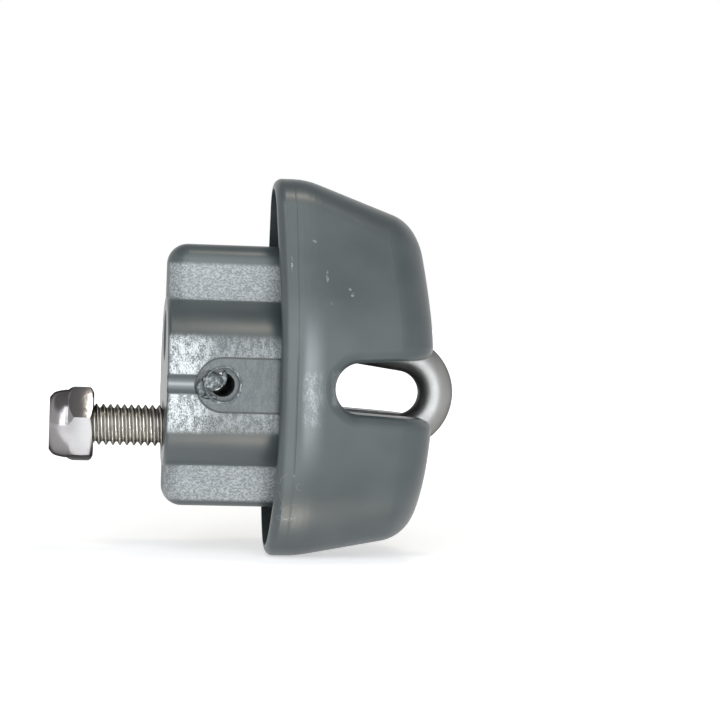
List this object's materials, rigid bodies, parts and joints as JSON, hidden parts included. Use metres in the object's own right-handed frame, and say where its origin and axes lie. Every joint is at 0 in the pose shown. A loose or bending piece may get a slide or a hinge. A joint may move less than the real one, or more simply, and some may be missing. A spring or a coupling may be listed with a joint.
{
  "type": "spreader end fitting",
  "caption": "Moulded end fitting for an aerofoil mast spreader tube, with a cross groove for the shroud wire and a hook bolt with a lock nut that clamps the wire.",
  "frame": {"origin": "on the plug's axis, in the plane where the end of the spreader tube seats inside the skirt", "axes": "+X points outboard along the plug's axis, out of the tube; +Z points to the pointed edge of the aerofoil section; Y is the section's thickness, with the pictured side at -Y"},
  "size_m": [0.0582, 0.0302, 0.0546],
  "materials": {
    "moulded_plastic": "satin",
    "polished_steel": "polished",
    "nut_steel": "bright",
    "nylon": "natural"
  },
  "bodies": {
    "fitting": {"fitting_body": "moulded_plastic"},
    "hook": {"hook_bolt": "polished_steel"},
    "nut": {"lock_nut": "nut_steel", "nylon_insert": "nylon"}
  },
  "joints": [
    {"name": "hook_slide", "type": "slide", "parent": "fitting", "child": "hook", "axis": [1, 0, 0], "range_m": [-0.01, 0.0096]},
    {"name": "nut_turn", "type": "hinge", "parent": "hook", "child": "nut", "pos_m": [-0.0318, 0, -0.0065], "axis": [1, 0, 0], "continuous": true}
  ]
}
